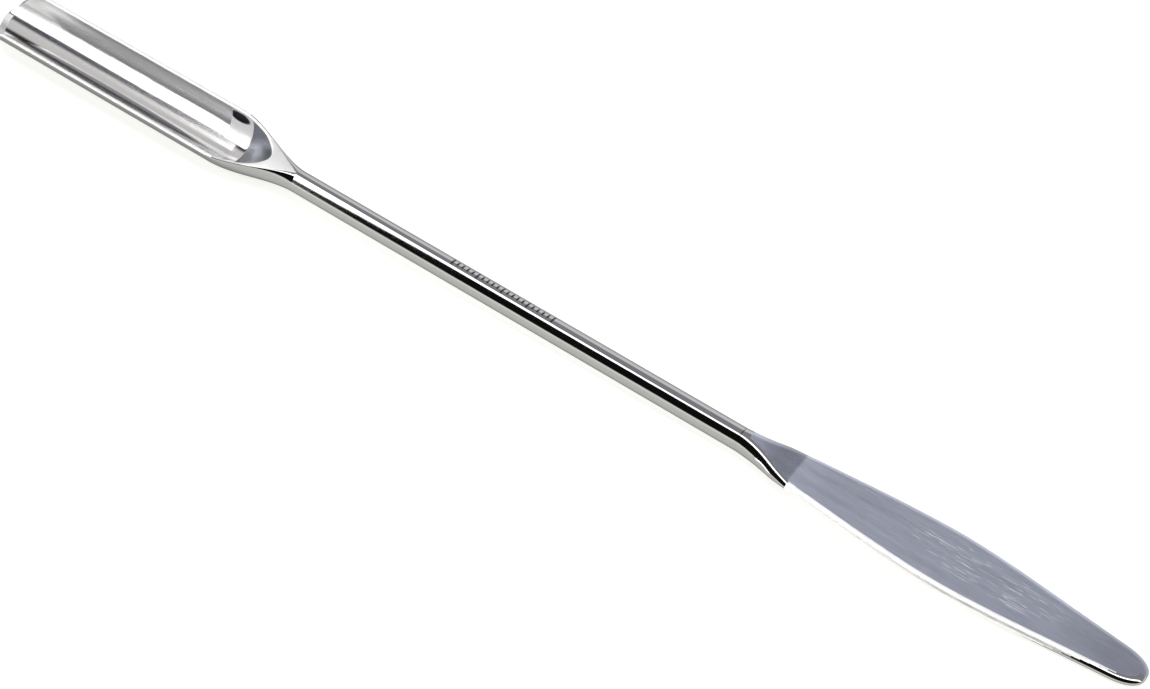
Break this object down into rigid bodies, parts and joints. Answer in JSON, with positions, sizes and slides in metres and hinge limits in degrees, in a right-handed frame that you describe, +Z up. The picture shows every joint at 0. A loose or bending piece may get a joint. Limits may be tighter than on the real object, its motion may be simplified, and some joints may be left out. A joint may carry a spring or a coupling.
{
  "type": "micro spatula",
  "caption": "Double-ended metal micro spatula with a half-round open-nosed scoop, a slim round handle rod and a flat leaf-shaped blade.",
  "frame": {"origin": "centre of the bounding box's bottom, on the surface that the tool lies on", "axes": "+X along the tool from the scoop's nose to the blade's tip, +Z up, the way the scoop's hollow opens"},
  "size_m": [0.228, 0.011, 0.007],
  "materials": {
    "polished_steel": "mirror-polished stainless steel",
    "satin_steel": "satin stainless steel, finely brushed along the blade"
  },
  "bodies": {
    "root": {"scoop": "polished_steel", "handle_rod": "polished_steel", "blade": "satin_steel"}
  },
  "joints": []
}
